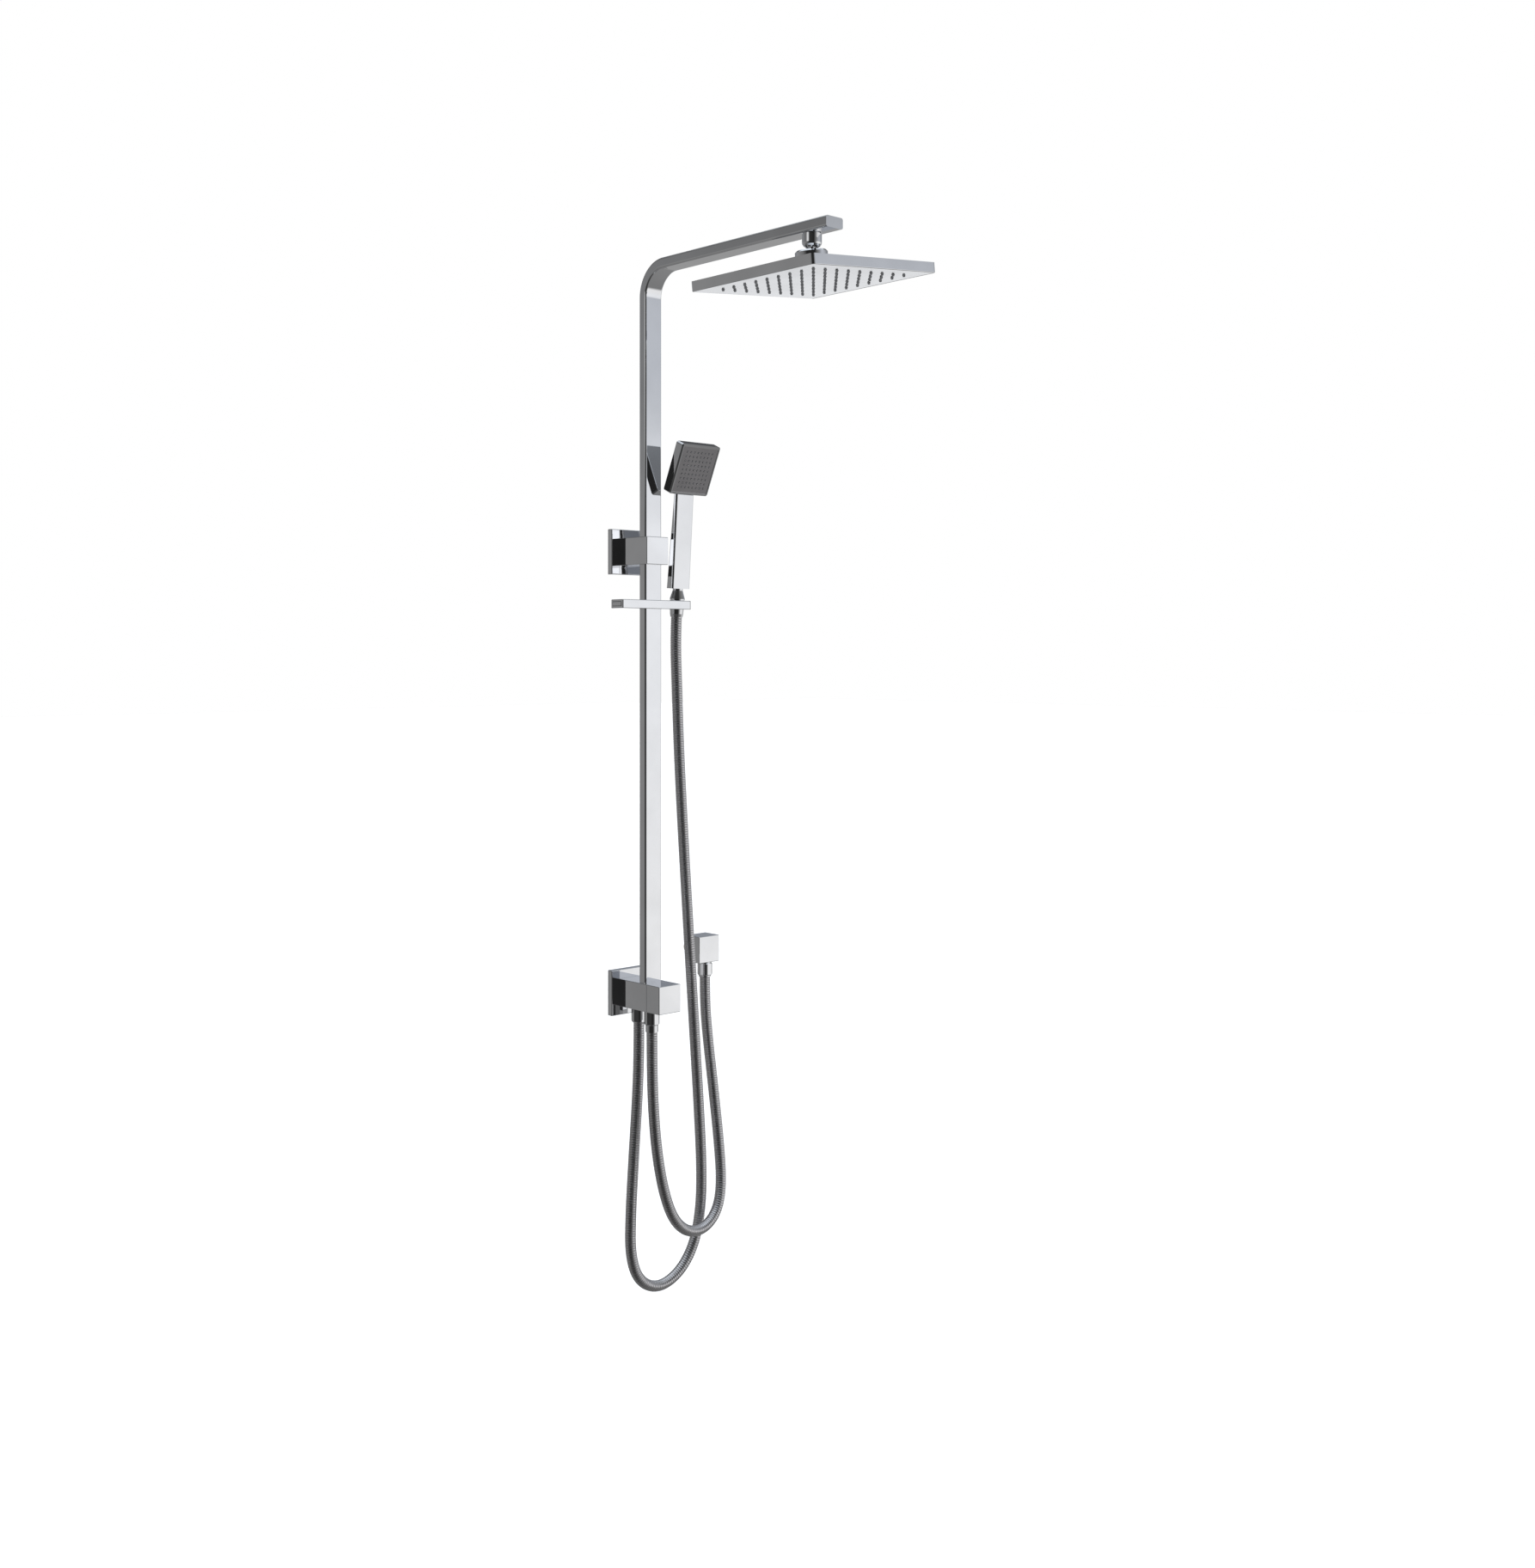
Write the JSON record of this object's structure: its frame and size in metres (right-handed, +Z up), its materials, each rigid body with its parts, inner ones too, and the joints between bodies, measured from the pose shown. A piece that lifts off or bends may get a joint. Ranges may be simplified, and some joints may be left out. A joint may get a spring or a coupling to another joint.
{
  "type": "rainfall shower column",
  "caption": "Exposed shower column: square ball-jointed rain head on a bent flat arm, sliding bar holder with square handset, knob diverter and wall outlet joined by hoses.",
  "frame": {"origin": "wall face behind the lower bracket, level with the diverter's centre", "axes": "+Z up along the rail, +Y into the wall, -Y out to the bather, +X to the bather's right"},
  "size_m": [0.2367, 0.454, 1.3196],
  "materials": {
    "chrome": "mirror polished plating",
    "head_underside": "polished stainless sheet",
    "plated_plastic": "chrome plated",
    "handset_face": "satin plated",
    "hose": "interlocked steel strip",
    "brass": "machined",
    "steel": "stainless",
    "wall_casting": "die cast",
    "seal_rubber": "matt",
    "nozzle_silicone": "moulded silicone",
    "inner_plastic": "moulded",
    "ceramic": "lapped ceramic"
  },
  "bodies": {
    "root": {"lower_rail": "chrome", "upper_arm": "chrome", "rail_coupling": "brass", "coupling_seals": "seal_rubber", "coupling_screws": "steel", "arm_end_cap": "chrome", "arm_insert": "brass", "ball_fitting": "chrome", "inlet_filter": "steel", "upper_wall_base": "wall_casting", "upper_wall_plate": "chrome", "upper_block": "chrome", "upper_liner": "inner_plastic", "upper_grub_screw": "steel", "lower_wall_base": "wall_casting", "lower_wall_plate": "chrome", "diverter_body": "chrome", "rail_end_seal": "seal_rubber", "lower_grub_screw": "steel", "diverter_cartridge": "inner_plastic", "cartridge_nut": "brass", "fixed_disc": "ceramic", "hand_port": "chrome", "supply_port": "chrome", "outlet_body": "chrome", "outlet_inlet": "brass", "check_valve": "inner_plastic", "outlet_port": "chrome", "hand_hose": "hose", "hand_hose_nut": "chrome", "supply_hose": "hose", "supply_hose_nuts": "chrome", "hose_washers": "seal_rubber"},
    "swivel_ring": {"ball_ring": "inner_plastic"},
    "tilt_ring": {"ball_seal": "seal_rubber"},
    "overhead": {"ball_nut": "chrome", "head_cover": "chrome", "head_chamber": "inner_plastic", "head_gasket": "seal_rubber", "spray_plate": "head_underside", "nozzle_mat": "nozzle_silicone", "head_screws": "steel"},
    "knob": {"diverter_knob": "chrome", "diverter_stem": "brass", "moving_disc": "ceramic", "knob_screw": "steel"},
    "slider": {"slider_body": "chrome", "slider_liner": "inner_plastic", "holder_bush": "inner_plastic"},
    "button": {"slider_button": "plated_plastic", "button_spring": "steel"},
    "brake": {"brake_shoe": "inner_plastic"},
    "hose_end": {"hand_hose_cone": "chrome", "handset_washer": "seal_rubber"},
    "handset": {"handset_shell": "plated_plastic", "handset_face": "handset_face", "handset_nozzles": "nozzle_silicone", "handset_inlet": "plated_plastic"}
  },
  "joints": [
    {"name": "head_swivel", "type": "hinge", "parent": "root", "child": "swivel_ring", "pos_m": [0, -0.341, 0.884], "axis": [0, 0, 1], "continuous": true},
    {"name": "head_tilt_side", "type": "hinge", "parent": "swivel_ring", "child": "tilt_ring", "pos_m": [0, -0.341, 0.884], "axis": [0, 1, 0], "range_deg": [-6, 17.5]},
    {"name": "head_tilt_front", "type": "hinge", "parent": "tilt_ring", "child": "overhead", "pos_m": [0, -0.341, 0.884], "axis": [1, 0, 0], "range_deg": [-12, 12]},
    {"name": "diverter_turn", "type": "hinge", "parent": "root", "child": "knob", "pos_m": [0, -0.07, 0], "axis": [0, 1, 0], "range_deg": [0, 90]},
    {"name": "slider_slide", "type": "slide", "parent": "root", "child": "slider", "axis": [0, 0, 1], "range_m": [-0.45, 0.044], "deforming": ["hand_hose"]},
    {"name": "button_press", "type": "slide", "parent": "slider", "child": "button", "axis": [1, 0, 0], "range_m": [0, 0.003], "stiffness_N_per_m": 800},
    {"name": "brake_release", "type": "slide", "parent": "slider", "child": "brake", "axis": [-1, 0, 0], "range_m": [0, 0.0006]},
    {"name": "handset_lift", "type": "slide", "parent": "slider", "child": "hose_end", "axis": [0, -0.0732, 0.9973], "range_m": [0, 0.025], "deforming": ["hand_hose"]},
    {"name": "handset_turn", "type": "hinge", "parent": "hose_end", "child": "handset", "pos_m": [0.043, -0.0515, 0.496], "axis": [0, -0.0732, 0.9973], "range_deg": [-10, 90]}
  ],
  "couplings": [
    {"joint": "brake_release", "follows": "button_press", "ratio": 0.2}
  ]
}
